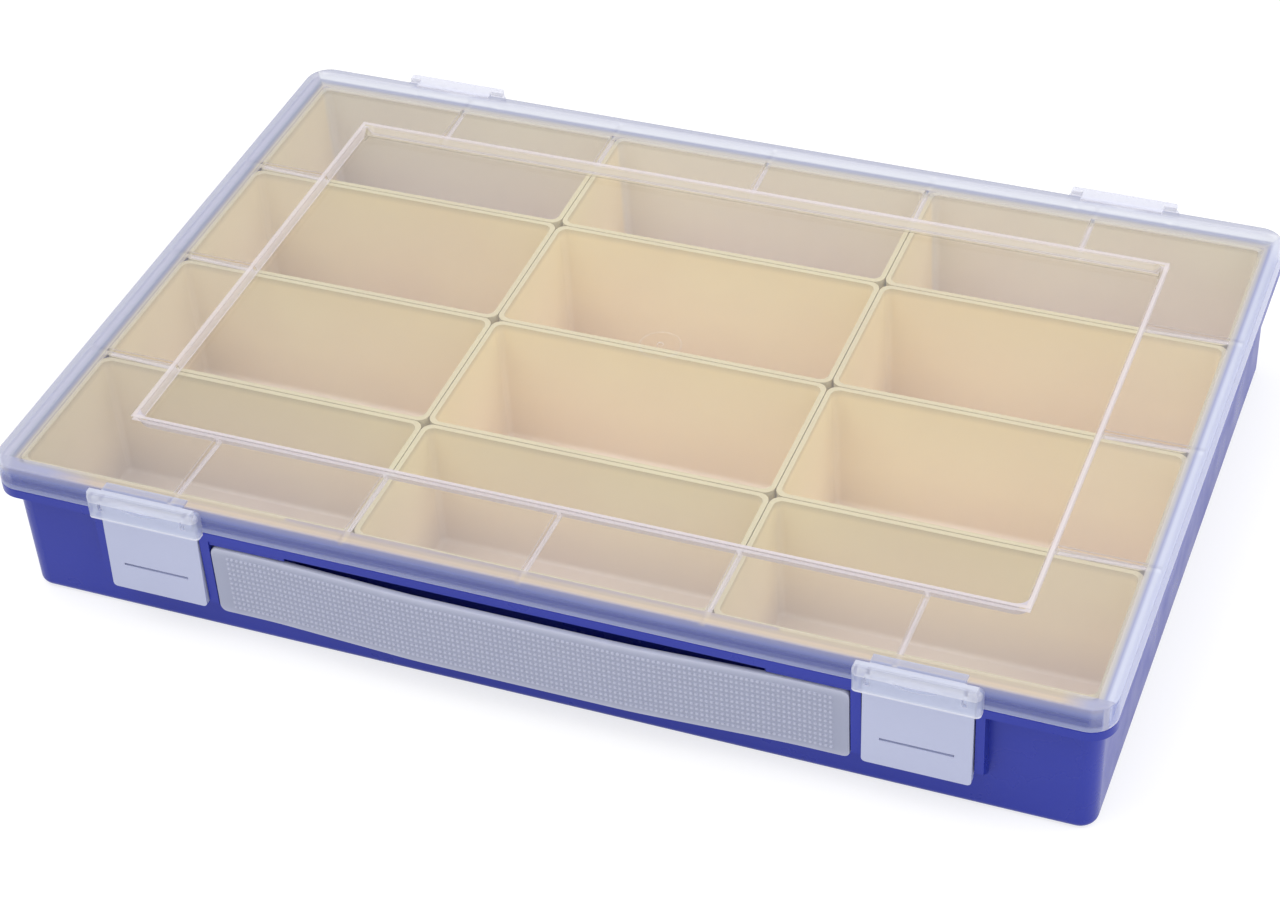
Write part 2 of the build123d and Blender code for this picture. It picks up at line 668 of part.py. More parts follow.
def build():
    """Every node of the box by its name."""
    nodes = {"base": base(), "lid": lid()}
    nodes.update(bins())
    latches = at_clips(latch())
    hinges = at_back(at_clips(hinge_clip()))
    for side, front_clip, back_clip in zip(("left", "right"), latches, hinges):
        nodes[f"latch_{side}"] = front_clip
        nodes[f"hinge_clip_{side}"] = back_clip
    nodes["strap_grip"] = strap_grip()
    for name, shape in (("strap_end", strap_end()), ("strap_side", strap_side())):
        nodes[f"{name}_left"] = mirror(shape, about=Plane.YZ)
        nodes[f"{name}_right"] = shape
    return nodes


os.makedirs("parts", exist_ok=True)
for name, shape in build().items():
    export_step(shape, f"parts/{name}.step")
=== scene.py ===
import math

import bpy
from mathutils import Matrix, Vector


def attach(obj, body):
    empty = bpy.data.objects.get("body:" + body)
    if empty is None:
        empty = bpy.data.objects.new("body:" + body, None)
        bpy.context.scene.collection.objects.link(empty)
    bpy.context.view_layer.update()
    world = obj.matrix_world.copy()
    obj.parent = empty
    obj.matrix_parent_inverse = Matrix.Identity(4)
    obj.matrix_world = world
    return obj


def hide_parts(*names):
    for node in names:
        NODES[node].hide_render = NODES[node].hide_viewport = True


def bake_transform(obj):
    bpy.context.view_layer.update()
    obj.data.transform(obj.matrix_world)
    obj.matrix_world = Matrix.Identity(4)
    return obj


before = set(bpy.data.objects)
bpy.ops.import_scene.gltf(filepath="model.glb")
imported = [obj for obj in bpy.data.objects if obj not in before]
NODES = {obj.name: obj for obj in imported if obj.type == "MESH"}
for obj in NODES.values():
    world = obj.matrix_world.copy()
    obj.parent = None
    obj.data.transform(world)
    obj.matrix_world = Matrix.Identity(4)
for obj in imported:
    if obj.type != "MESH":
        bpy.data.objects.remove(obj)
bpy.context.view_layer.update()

# A storage box: a clear lid, a blue base tray, twelve cream bins, grey latches and a grey strap.
# Metres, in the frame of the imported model: z = 0 is the underside, -y is the front.
# Colours are in linear light.

MM = 0.001
WHITE = (1.0, 1.0, 1.0)

# Camera, fitted to the photograph's edges

CAMERA_AT = (274.793 * MM, -659.109 * MM, 603.082 * MM)
CAMERA_YAW = -0.40522
CAMERA_PITCH = 0.69347
CAMERA_ROLL = -0.0638
IMAGE_WIDTH = 1280
FOCAL_PIXELS = 2953.34
SENSOR_WIDTH = 36.0
CLIP_NEAR = 0.01
CLIP_FAR = 50

# Light: the world's strength as diffuse light, and each lamp's place, target, side and power

WORLD_LIGHT = 0.75
LAMPS = {
    "key": ((-0.5, -0.3, 1.5), (0, 0, 0), 1.4, 10),
    "side": ((1.4, 0.1, 0.9), (0, 0, 0.03), 1.0, 8),
    "front": ((0.2, -1.6, 0.7), (0, -0.1, 0.03), 1.4, 5),
}

# Floor: half its side in millimetres, its colour to diffuse rays, how much of it takes shadow,
# and how bright that part comes out where nothing shades it

FLOOR_HALF = 4000
FLOOR_COLOUR = (0.8, 0.8, 0.8)
FLOOR_SHADED = 0.4
FLOOR_LIT = 0.8

# Moulded plastics: two colours each, the strap's painted shade in its hollows and painted
# highlight on its dots with the pointiness of each, how far the roughness strays, and the middle
# of a noise's range

BLUE = ((0.016, 0.028, 0.30), (0.020, 0.034, 0.34))
GREY = ((0.42, 0.45, 0.62), (0.46, 0.49, 0.66))
RUBBER_HOLLOW_PAINTED_SHADE = (0.26, 0.28, 0.39)
RUBBER_RAISED_PAINTED_HIGHLIGHT = (0.44, 0.46, 0.58)
HOLLOW_POINTINESS = 0.475
RAISED_POINTINESS = 0.545
ROUGHNESS_LEAST = 0.85
ROUGHNESS_MOST = 1.2
NOISE_LOW = 0.3
NOISE_HIGH = 0.7

# The clear plastic, its gloss, how far its haze strays, and the painted white highlights along its
# edges

CLEAR_COLOUR = (0.985, 0.987, 0.992)
CLEAR_SHINE = 0.05
CLEAR_FACING = 0.5
CLEAR_FALLOFF = 5.0
HAZE_LEAST = 0.9
HAZE_MOST = 1.1
EDGE_SHARE = 0.42
EDGE_COLOUR = (0.70, 0.68, 0.76)
EDGE_RADIUS = 0.4 * MM
EDGE_GAIN = 1.6

# How much each zone of the lid hides what is under it, and the colour that it shows: a faint milky
# haze on the panel and band, and painted light and shade on the other zones, lighter or darker by
# side

PANEL_ZONE = (0.03, (0.80, 0.80, 0.90))
BAND_ZONE = (0.09, (0.66, 0.60, 0.62))
# Slopes: each side with its own painted light and shade, a painted highlight line on top, a
# painted shadow line at the back foot.
SLOPE_LEFT_ZONE = (0.14, (0.60, 0.54, 0.50))
SLOPE_RIGHT_ZONE = (0.45, (0.64, 0.58, 0.58))
SLOPE_FRONT_ZONE = (0.68, (0.62, 0.58, 0.66))
SLOPE_BACK_ZONE = (0.55, (0.64, 0.58, 0.46))
SLOPE_TOP_ZONE = (0.72, (0.70, 0.64, 0.66))
SLOPE_FOOT_ZONE = (0.35, (0.30, 0.26, 0.17))
# Gussets: a faint painted highlight, and stronger painted highlight lines along their top and
# foot.
GUSSET_ZONE = (0.12, (0.70, 0.64, 0.68))
GUSSET_LINE_ZONE = (0.70, (0.72, 0.66, 0.70))
# Skirt: the tray's blue painted on, and a painted highlight along its foot.
SKIRT_ZONE = (0.30, (0.40, 0.45, 0.76))
SKIRT_FOOT_ZONE = (0.55, (0.60, 0.62, 0.76))
# Ends of the front strip at the corners, in painted shade.
FRONT_CORNER_ZONE = (0.55, (0.44, 0.45, 0.58))
# Hoods: painted shade on their body, painted highlights on their outer bar and foot, a lighter
# painted copy on the two back ones.
HOOD_ZONE = (0.45, (0.48, 0.52, 0.68))
HOOD_BAR_ZONE = (0.48, (0.68, 0.70, 0.80))
HOOD_BACK_ZONE = (0.48, (0.74, 0.75, 0.86))
HOOD_FOOT_ZONE = (0.60, (0.72, 0.74, 0.83))

# The front of the skirt, from its foot up to the lid's top, in painted shade that is darkest low
# in its middle

FRONT_SKIRT_SHARE = 0.50
FRONT_SKIRT = [(0.0, (0.34, 0.38, 0.56)), (0.14, (0.30, 0.33, 0.50)), (0.26, (0.10, 0.12, 0.31)),
               (0.47, (0.12, 0.14, 0.35)), (0.70, (0.26, 0.30, 0.54)), (0.94, (0.38, 0.37, 0.46))]

# The lid's four edges, each from its outer side inwards over its width, in painted highlight and
# painted shade lines that differ by side; how soft their inner borders and mitres are, as a share
# of that width

MITRE_SOFT = 0.04
FRONT_STRIP_SHARE = 0.58
FRONT_STRIP_WIDTH = 4.8 * MM
FRONT_STRIP = [(0.0, (0.42, 0.39, 0.42)), (0.10, (0.62, 0.53, 0.44)), (0.36, (0.70, 0.57, 0.41)),
               (0.52, (0.58, 0.49, 0.37)), (1.0, (0.58, 0.51, 0.42))]
LEFT_EDGE_SHARE = 0.58
LEFT_EDGE_WIDTH = 8.5 * MM
LEFT_EDGE = [(0.0, (0.36, 0.37, 0.48)), (0.25, (0.34, 0.35, 0.46)), (0.45, (0.50, 0.50, 0.62)),
             (0.60, (0.42, 0.43, 0.54)), (0.72, (0.30, 0.33, 0.41)), (0.84, (0.42, 0.40, 0.41)),
             (1.0, (0.74, 0.66, 0.48))]
RIGHT_EDGE_SHARE = 0.54
RIGHT_EDGE_WIDTH = 5.4 * MM
RIGHT_EDGE = [(0.0, (0.70, 0.73, 0.86)), (0.45, (0.68, 0.71, 0.84)), (0.63, (0.40, 0.42, 0.59)),
              (0.80, (0.56, 0.55, 0.54)), (1.0, (0.60, 0.56, 0.54))]
BACK_EDGE_SHARE = 0.62
BACK_EDGE_WIDTH = 11.4 * MM
BACK_EDGE = [(0.0, (0.36, 0.38, 0.48)), (0.20, (0.40, 0.41, 0.52)), (0.33, (0.70, 0.71, 0.78)),
             (0.60, (0.68, 0.70, 0.76)), (0.68, (0.32, 0.34, 0.47)), (0.77, (0.36, 0.37, 0.45)),
             (0.87, (0.60, 0.57, 0.52)), (1.0, (0.68, 0.62, 0.53))]

# Lid, in metres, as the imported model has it

PANEL_HALF_X = 137.7 * MM
PANEL_HALF_Y = 81.85 * MM
PANEL_MID_Y = 2.45 * MM
PANEL_SLOPE = 1.1 * MM
LID_PLATE = 1.3 * MM
LID_TOP = 51.5 * MM
LID_UNDERSIDE = 50.2 * MM
LID_FOOT = 43.0 * MM
LID_HALF_X = 170.0 * MM
LID_HALF_Y = 113.0 * MM
LID_SKIRT = 1.5 * MM
GUSSET_LOW = 47.95 * MM
GUSSET_RISE = 0.038
BAR_FOOT = 48.4 * MM
BAR_INNER_Y = 114.3 * MM
HOOD_FOOT = 42.1 * MM

# Where the lid's zones begin and end, and how soft their borders are, in metres

BORDER_SOFT = 0.15 * MM
FINE_SOFT = 0.1 * MM
GUSSET_SOFT = 0.05 * MM
SKIRT_INNER_X = LID_HALF_X - LID_SKIRT - 0.2 * MM
SKIRT_INNER_Y = LID_HALF_Y - LID_SKIRT - 0.2 * MM
SKIRT_TOP = LID_TOP - 0.5 * MM
SKIRT_FOOT_TOP = LID_FOOT + 0.7 * MM
SKIRT_FOOT_SOFT = 0.2 * MM
BACK_FROM_Y = 80 * MM
SLOPE_FRONT_FOOT = 1.5 * MM
SLOPE_BACK_FOOT = 0.5 * MM
SLOPE_TOP_FROM = -0.2 * MM
SLOPE_TOP_TO = 1.1 * MM
GUSSET_FROM = LID_PLATE + 0.1 * MM
GUSSET_TOP = LID_UNDERSIDE - 0.1 * MM
GUSSET_LINE_FOOT = LID_UNDERSIDE - 0.5 * MM
CORNER_FROM_X = LID_HALF_X - 11 * MM
CORNER_SOFT = 4 * MM
LEFT_CORNER_TO_X = 28 * MM - LID_HALF_X
LEFT_CORNER_SOFT = 8 * MM
HOOD_FROM_Y = LID_HALF_Y + 0.2 * MM
HOOD_FROM_Z = LID_TOP + 0.15 * MM
HOOD_FOOT_TOP = HOOD_FOOT + 0.6 * MM

# Bins, in metres: how far all twelve together reach, and their colours from floor to rim: painted
# shade low on the walls and on the rim's top, yellower near the top

BIN_NAMES = [name for name in NODES if name.startswith("bin_")]
BIN_VERTICES = [vertex.co for name in BIN_NAMES for vertex in NODES[name].data.vertices]
BINS_HALF_X = max(place.x for place in BIN_VERTICES)
BINS_HALF_Y = max(place.y for place in BIN_VERTICES)
BIN_FLOOR_Z = 3.0 * MM
BIN_RIM_Z = 47.4 * MM
BIN_WALL = [(0.0, (0.90, 0.77, 0.62)), (0.4, (0.95, 0.83, 0.60)),
            (0.94, (0.92, 0.81, 0.51)), (0.995, (0.69, 0.61, 0.38))]
BIN_TINTS = ((0.96, 0.93, 0.94), (1.0, 1.0, 0.98))

# Painted shade that multiplies the bins' colour by place: from where to where, and the colour at
# either end

FRONT_RIM_SHADE = (-BINS_HALF_Y + 1.6 * MM, -BINS_HALF_Y + 2.4 * MM, (0.72, 0.72, 0.86), WHITE)
RIGHT_RIM_SHADE = (BINS_HALF_X - 2.4 * MM, BINS_HALF_X - 1.6 * MM, WHITE, (0.84, 0.85, 0.95))
# Painted shade with a blue cast on the back walls of the back row.
BACK_WALL_SHADE = (BINS_HALF_Y - 6 * MM, BINS_HALF_Y - 3 * MM, WHITE, (0.86, 0.93, 1.16))
TO_LEFT_SHADE = (-BINS_HALF_X, -50 * MM, (0.88, 0.89, 0.92), WHITE)
TO_FRONT_SHADE = (-BINS_HALF_Y, -45 * MM, (0.89, 0.90, 0.93), WHITE)
# Painted shade low in the bins of the front row.
FRONT_ROW_Y = (-54 * MM, -50 * MM)
FRONT_ROW_Z = (4 * MM, 20 * MM)
FRONT_ROW_PAINTED_SHADE = (0.88, 0.90, 0.97)

# Strap, in millimetres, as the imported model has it

STRAP_LOW = 12.4
STRAP_HIGH = 37.5
STRAP_HALF_THICKNESS = 1.0
STRAP_END_X = 97.55
STRAP_MID_Y = -112.0
STRAP_BOW = 2.2
BEND_OUTER_X = 80.0
BEND_INNER_X = 34.0
BEND_HALF = 6.0
STRAP_LEAN = STRAP_BOW / (BEND_OUTER_X - BEND_INNER_X)
STRAP_CORNER = 2.0
STRAP_CORNER_STEPS = (2.0, 1.5, 1.0, 0.6, 0.3, 0.08, 0.0)
STRAP_ROUNDING = 0.55
STRAP_ROUNDING_MID = 0.16

# Where the strap's rigid stretches end, clear of the bends between them, in millimetres

GRIP_TO_X = 27
SIDE_FROM_X = 40.5
SIDE_TO_X = 73.5
END_FROM_X = 87

# Dots on the strap's front and the lug behind each of its ends, in millimetres

DOT_PITCH_X = 1.5
DOT_PITCH_Z = 1.9
DOT_ROWS = 11
DOT_COLUMNS_HALF = 62
DOTS_TO_X = DOT_COLUMNS_HALF * DOT_PITCH_X
COLUMN_ROOM = 0.01
DOT_SIDES = 8
DOT_RADIUS = 0.6
DOT_TOP_RADIUS = 0.35
DOT_HEIGHT = 0.4
DOT_TURN = 210.0
LUG_OUTLINE = [(84.95, 14.4), (92.95, 14.4), (92.95, 37.5), (89.95, 39.4), (84.95, 39.4)]
LUG_FRONT_Y = -111.05
LUG_BACK_Y = -108.9
LUG_ROUNDING = 0.3
LUG_ROUND_STEPS = 3
SHARP_ANGLE = 35

# Ring round the moulding gate, in millimetres; its section is (outwards, upwards)

GATE_MID_Y = 2.45
GATE_PANEL_Z = 48.9
GATE_RADIUS = 6.5
GATE_STEPS = 72
GATE_SECTION = [(-0.28, 0.0), (-0.12, 0.1), (0.12, 0.1), (0.28, 0.0)]


# Shader nodes

def new_material(name):
    """A material with its node tree and its Principled shader."""
    material = bpy.data.materials.new(name)
    material.use_nodes = True
    tree = material.node_tree
    return material, tree, tree.nodes["Principled BSDF"]


def node(tree, kind, **values):
    """A new node with its properties."""
    made = tree.nodes.new(kind)
    for name, value in values.items():
        setattr(made, name, value)
    return made


def object_axes(tree):
    """The x, y and z of a point in the object's own coordinates."""
    coords = node(tree, "ShaderNodeTexCoord")
    parts = node(tree, "ShaderNodeSeparateXYZ")
    tree.links.new(coords.outputs["Object"], parts.inputs["Vector"])
    return [parts.outputs[axis] for axis in "XYZ"]


def noise(tree, scale, detail):
    """A noise factor in the object's own coordinates."""
    coords = node(tree, "ShaderNodeTexCoord")
    texture = node(tree, "ShaderNodeTexNoise")
    texture.inputs["Scale"].default_value = scale
    texture.inputs["Detail"].default_value = detail
    tree.links.new(coords.outputs["Object"], texture.inputs["Vector"])
    return texture.outputs["Fac"]


def ramp(tree, factor, stops):
    """A colour ramp over a factor; stops are (position, colour)."""
    made = node(tree, "ShaderNodeValToRGB")
    elements = made.color_ramp.elements
    elements[0].position, elements[0].color = stops[0][0], (*stops[0][1], 1)
    elements[1].position, elements[1].color = stops[-1][0], (*stops[-1][1], 1)
    for position, colour in stops[1:-1]:
        elements.new(position).color = (*colour, 1)
    tree.links.new(factor, made.inputs["Fac"])
    return made.outputs["Color"]


def scaled(tree, factor, low, high, from_low=NOISE_LOW, from_high=NOISE_HIGH):
    """A factor mapped to low and high, from the middle of a noise's range if none is given."""
    made = node(tree, "ShaderNodeMapRange")
    made.inputs["From Min"].default_value = from_low
    made.inputs["From Max"].default_value = from_high
    made.inputs["To Min"].default_value = low
    made.inputs["To Max"].default_value = high
    tree.links.new(factor, made.inputs["Value"])
    return made.outputs["Result"]


def bump(tree, height, distance):
    """A bump normal from a height factor, with its full height in metres."""
    made = node(tree, "ShaderNodeBump")
    made.inputs["Distance"].default_value = distance
    tree.links.new(height, made.inputs["Height"])
    return made.outputs["Normal"]


def math_node(tree, operation, first, second=None):
    """A math node over factors or numbers."""
    made = node(tree, "ShaderNodeMath", operation=operation)
    for socket, value in zip(made.inputs, (first, second)):
        if isinstance(value, (int, float)):
            socket.default_value = value
        elif value is not None:
            tree.links.new(value, socket)
    return made.outputs["Value"]


def combined(tree, operation, values):
    """Several factors taken together, two at a time."""
    total = values[0]
    for value in values[1:]:
        total = math_node(tree, operation, total, value)
    return total


def every(tree, *masks):
    """One where all of the masks are one."""
    return combined(tree, "MULTIPLY", masks)


def largest(tree, *values):
    """The largest of several values."""
    return combined(tree, "MAXIMUM", values)


def smallest(tree, *values):
    """The smallest of several values."""
    return combined(tree, "MINIMUM", values)


def above(tree, value, edge, soft=BORDER_SOFT):
    """One where a value passes an edge, zero below it, and even between over a soft width."""
    return scaled(tree, value, 0, 1, edge - soft, edge + soft)


def below(tree, value, edge, soft=BORDER_SOFT):
    """One below an edge and zero past it."""
    return scaled(tree, value, 1, 0, edge - soft, edge + soft)


def mix_share(tree, mask, first, second):
    """A number that changes from first to second with a mask."""
    made = node(tree, "ShaderNodeMix", data_type="FLOAT")
    tree.links.new(mask, made.inputs[0])
    for socket, value in ((made.inputs[2], first), (made.inputs[3], second)):
        if isinstance(value, float):
            socket.default_value = value
        else:
            tree.links.new(value, socket)
    return made.outputs[0]


def mix_colour(tree, mask, first, second):
    """A colour that changes from first to second with a mask."""
    made = node(tree, "ShaderNodeMix", data_type="RGBA")
    tree.links.new(mask, made.inputs[0])
    for socket, value in ((made.inputs[6], first), (made.inputs[7], second)):
        if isinstance(value, tuple):
            socket.default_value = (*value, 1)
        else:
            tree.links.new(value, socket)
    return made.outputs[2]


def multiplied(tree, first, second):
    """Two colours multiplied."""
    made = node(tree, "ShaderNodeMix", data_type="RGBA", blend_type="MULTIPLY")
    made.inputs[0].default_value = 1.0
    tree.links.new(first, made.inputs[6])
    tree.links.new(second, made.inputs[7])
    return made.outputs[2]


def seen_directly(tree):
    """One for rays from the camera and from mirrors."""
    path = node(tree, "ShaderNodeLightPath")
    return largest(tree, path.outputs["Is Camera Ray"], path.outputs["Is Glossy Ray"])


# Materials

def surface(tree, shader, gloss, roughness, grain, height):
    """Uneven gloss between two roughnesses, and a fine skin of a height in metres.

    gloss and grain give the scale and detail of the noises."""
    tree.links.new(scaled(tree, noise(tree, *gloss), *roughness), shader.inputs["Roughness"])
    tree.links.new(bump(tree, noise(tree, *grain), height), shader.inputs["Normal"])


def moulded_plastic(name, colours, roughness, ior):
    """Moulded plastic: faint drift in colour, uneven gloss and a fine skin."""
    material, tree, shader = new_material(name)
    drift = noise(tree, scale=14, detail=3)
    tree.links.new(ramp(tree, drift, [(NOISE_LOW, colours[0]), (NOISE_HIGH, colours[1])]),
                   shader.inputs["Base Color"])
    surface(tree, shader, gloss=(60, 4), grain=(900, 3), height=0.02 * MM,
            roughness=(roughness * ROUGHNESS_LEAST, roughness * ROUGHNESS_MOST))
    shader.inputs["IOR"].default_value = ior
    return material


def dotted_rubber(name):
    """The strap's soft plastic: matt, with a painted highlight on its dots and rims and painted
    shade round their feet.
    """
    material, tree, shader = new_material(name)
    shape = node(tree, "ShaderNodeNewGeometry")
    # Painted light and shade: lighter where the mesh is raised, darker in its hollows.
    curve = scaled(tree, shape.outputs["Pointiness"], 0, 1, HOLLOW_POINTINESS, RAISED_POINTINESS)
    tree.links.new(ramp(tree, curve, [(0.0, RUBBER_HOLLOW_PAINTED_SHADE), (1.0, RUBBER_RAISED_PAINTED_HIGHLIGHT)]),
                   shader.inputs["Base Color"])
    surface(tree, shader, gloss=(60, 4), roughness=(0.42, 0.6), grain=(1500, 3), height=0.04 * MM)
    shader.inputs["IOR"].default_value = 1.49
    return material


def place_shade(tree, value, start, end, first, last):
    """A painted shade that changes from first to last as a value goes from start to end."""
    return ramp(tree, scaled(tree, value, 0, 1, start, end), [(0.0, first), (1.0, last)])


def cream_plastic():
    """The bins: cream plastic, with painted shade by height and by where in the box it is."""
    material, tree, shader = new_material("bin_cream")
    x, y, z = object_axes(tree)
    colour = ramp(tree, scaled(tree, z, 0, 1, BIN_FLOOR_Z, BIN_RIM_Z), BIN_WALL)
    front_row = largest(tree, scaled(tree, y, 0, 1, *FRONT_ROW_Y),
                        scaled(tree, z, 0, 1, *FRONT_ROW_Z))
    shades = [
        place_shade(tree, y, *FRONT_RIM_SHADE),
        place_shade(tree, x, *RIGHT_RIM_SHADE),
        place_shade(tree, y, *BACK_WALL_SHADE),
        ramp(tree, front_row, [(0.0, FRONT_ROW_PAINTED_SHADE), (1.0, WHITE)]),
        place_shade(tree, x, *TO_LEFT_SHADE),
        place_shade(tree, y, *TO_FRONT_SHADE),
        ramp(tree, noise(tree, scale=22, detail=3),
             [(NOISE_LOW, BIN_TINTS[0]), (NOISE_HIGH, BIN_TINTS[1])]),
    ]
    for shade in shades:
        colour = multiplied(tree, colour, shade)
    tree.links.new(colour, shader.inputs["Base Color"])
    surface(tree, shader, gloss=(70, 3), roughness=(0.28, 0.4), grain=(120, 2), height=0.03 * MM)
    shader.inputs["IOR"].default_value = 1.5
    return material


def edge_shine(tree):
    """How much a thin clear sheet mirrors: little head on and much at a grazing angle."""
    facing = node(tree, "ShaderNodeLayerWeight")
    facing.inputs["Blend"].default_value = CLEAR_FACING
    steep = math_node(tree, "POWER", facing.outputs["Facing"], CLEAR_FALLOFF)
    return scaled(tree, steep, CLEAR_SHINE, 1.0, 0.0, 1.0)


def painted_edge_highlights(tree):
    """One along the edges of the mesh and zero on its faces: where the lid's painted white
    highlights go.
    """
    rounded = node(tree, "ShaderNodeBevel", samples=6)
    rounded.inputs["Radius"].default_value = EDGE_RADIUS
    flat = node(tree, "ShaderNodeNewGeometry")
    turn = node(tree, "ShaderNodeVectorMath", operation="DOT_PRODUCT")
    tree.links.new(rounded.outputs["Normal"], turn.inputs[0])
    tree.links.new(flat.outputs["True Normal"], turn.inputs[1])
    return scaled(tree, turn.outputs["Value"], EDGE_GAIN, 0.0, 1 - 1 / EDGE_GAIN, 1.0)


# Zones of the lid: lists of a mask, how much the zone hides and the colour that it shows; past the
# band's milky haze, that colour is painted light and shade.
# A later zone covers the earlier ones. out is how far a point lies outside the panel's outline.

def slope_zones(tree, x, y, out):
    """The slopes down to the panel on its four sides, each with its own painted light and shade,
    with a painted highlight line at their top and a painted shadow line at their foot at the back.
    """
    slope = every(tree, above(tree, out, -PANEL_SLOPE), below(tree, out, 0))
    left = below(tree, x, PANEL_SLOPE - PANEL_HALF_X)
    right = above(tree, x, PANEL_HALF_X - PANEL_SLOPE)
    front = below(tree, y, PANEL_MID_Y - PANEL_HALF_Y + PANEL_SLOPE + SLOPE_FRONT_FOOT)
    back = above(tree, y, PANEL_MID_Y + PANEL_HALF_Y - PANEL_SLOPE)
    top = every(tree, above(tree, out, SLOPE_TOP_FROM), below(tree, out, SLOPE_TOP_TO))
    back_foot = every(tree, above(tree, y, BACK_FROM_Y),
                      above(tree, out, -PANEL_SLOPE - SLOPE_BACK_FOOT),
                      below(tree, out, -PANEL_SLOPE))
    return [
        (every(tree, slope, left), *SLOPE_LEFT_ZONE),
        (every(tree, slope, right), *SLOPE_RIGHT_ZONE),
        (every(tree, below(tree, out, 0), front), *SLOPE_FRONT_ZONE),
        (every(tree, slope, back), *SLOPE_BACK_ZONE),
        (top, *SLOPE_TOP_ZONE),
        (back_foot, *SLOPE_FOOT_ZONE),
    ]


def gusset_zones(tree, z, out, inside_skirt):
    """The thin gussets under the lid's band in a faint painted highlight, with painted highlight
    lines along their top and foot.
    """
    gusset = every(tree, inside_skirt, above(tree, out, GUSSET_FROM),
                   below(tree, z, GUSSET_TOP, GUSSET_SOFT))
    rise = math_node(tree, "MULTIPLY", out, GUSSET_RISE)
    lines = largest(tree, above(tree, z, GUSSET_LINE_FOOT, GUSSET_SOFT),
                    below(tree, math_node(tree, "SUBTRACT", z, rise), GUSSET_LOW, GUSSET_SOFT))
    return [(gusset, *GUSSET_ZONE), (every(tree, gusset, lines), *GUSSET_LINE_ZONE)]


def edge_zones(tree, x, y, wide):
    """The lid's four edges in painted highlight and shade lines, mitred where they meet, and the
    ends of the front one in painted shade.
    """
    from_left = math_node(tree, "ADD", x, LID_HALF_X)
    from_right = math_node(tree, "SUBTRACT", LID_HALF_X, x)
    from_front = math_node(tree, "ADD", y, LID_HALF_Y)
    from_back = math_node(tree, "SUBTRACT", LID_HALF_Y, y)
    left, right, front, back = (
        math_node(tree, "DIVIDE", distance, width) for distance, width in
        ((from_left, LEFT_EDGE_WIDTH), (from_right, RIGHT_EDGE_WIDTH),
         (from_front, FRONT_STRIP_WIDTH), (from_back, BACK_EDGE_WIDTH)))
    nearest = smallest(tree, left, right, front, back)
    zones = []
    for place, share, stops in ((left, LEFT_EDGE_SHARE, LEFT_EDGE),
                                (right, RIGHT_EDGE_SHARE, RIGHT_EDGE),
                                (back, BACK_EDGE_SHARE, BACK_EDGE),
                                (front, FRONT_STRIP_SHARE, FRONT_STRIP)):
        lead = math_node(tree, "SUBTRACT", place, nearest)
        mask = every(tree, below(tree, place, 1.0, MITRE_SOFT),
                     below(tree, lead, MITRE_SOFT, MITRE_SOFT))
        zones.append((mask, share, ramp(tree, place, stops)))
    at_corner = largest(tree, above(tree, wide, CORNER_FROM_X, CORNER_SOFT),
                        below(tree, x, LEFT_CORNER_TO_X, LEFT_CORNER_SOFT))
    ends = every(tree, below(tree, front, 1.0, MITRE_SOFT), at_corner)
    return zones + [(ends, *FRONT_CORNER_ZONE)]


def skirt_zones(tree, y, z, in_skirt):
    """The lid's skirt with the tray's blue painted on, a painted highlight along its foot, and
    painted shade on its front.
    """
    skirt = every(tree, in_skirt, below(tree, z, SKIRT_TOP))
    foot = every(tree, skirt, below(tree, z, SKIRT_FOOT_TOP, SKIRT_FOOT_SOFT))
    front = every(tree, skirt, below(tree, y, -SKIRT_INNER_Y))
    rise = scaled(tree, z, 0, 1, LID_FOOT, LID_TOP)
    return [
        (skirt, *SKIRT_ZONE),
        (foot, *SKIRT_FOOT_ZONE),
        (front, FRONT_SKIRT_SHARE, ramp(tree, rise, FRONT_SKIRT)),
    ]


def hood_zones(tree, y, z, deep):
    """The hoods in painted shade, a painted highlight on their outer bar and along the foot of
    each, and the two back ones painted lighter.
    """
    hood = largest(tree, above(tree, deep, HOOD_FROM_Y, FINE_SOFT),
                   above(tree, z, HOOD_FROM_Z, FINE_SOFT))
    bar = every(tree, above(tree, deep, BAR_INNER_Y, FINE_SOFT),
                above(tree, z, BAR_FOOT, FINE_SOFT))
    return [
        (hood, *HOOD_ZONE),
        (every(tree, hood, bar), *HOOD_BAR_ZONE),
        (every(tree, hood, above(tree, y, BACK_FROM_Y)), *HOOD_BACK_ZONE),
        (every(tree, hood, below(tree, z, HOOD_FOOT_TOP, FINE_SOFT)), *HOOD_FOOT_ZONE),
    ]


def lid_zones(tree):
    """All the lid's zones, in order."""
    x, y, z = object_axes(tree)
    wide = math_node(tree, "ABSOLUTE", x)
    deep = math_node(tree, "ABSOLUTE", y)
    from_middle = math_node(tree, "ABSOLUTE", math_node(tree, "SUBTRACT", y, PANEL_MID_Y))
    out = largest(tree, math_node(tree, "SUBTRACT", wide, PANEL_HALF_X),
                  math_node(tree, "SUBTRACT", from_middle, PANEL_HALF_Y))
    inside_skirt = every(tree, below(tree, wide, SKIRT_INNER_X), below(tree, deep, SKIRT_INNER_Y))
    in_skirt = largest(tree, above(tree, wide, SKIRT_INNER_X), above(tree, deep, SKIRT_INNER_Y))
    return [
        (above(tree, out, 0), *BAND_ZONE),
        *slope_zones(tree, x, y, out),
        *gusset_zones(tree, z, out, inside_skirt),
        *edge_zones(tree, x, y, wide),
        *skirt_zones(tree, y, z, in_skirt),
        *hood_zones(tree, y, z, deep),
    ]


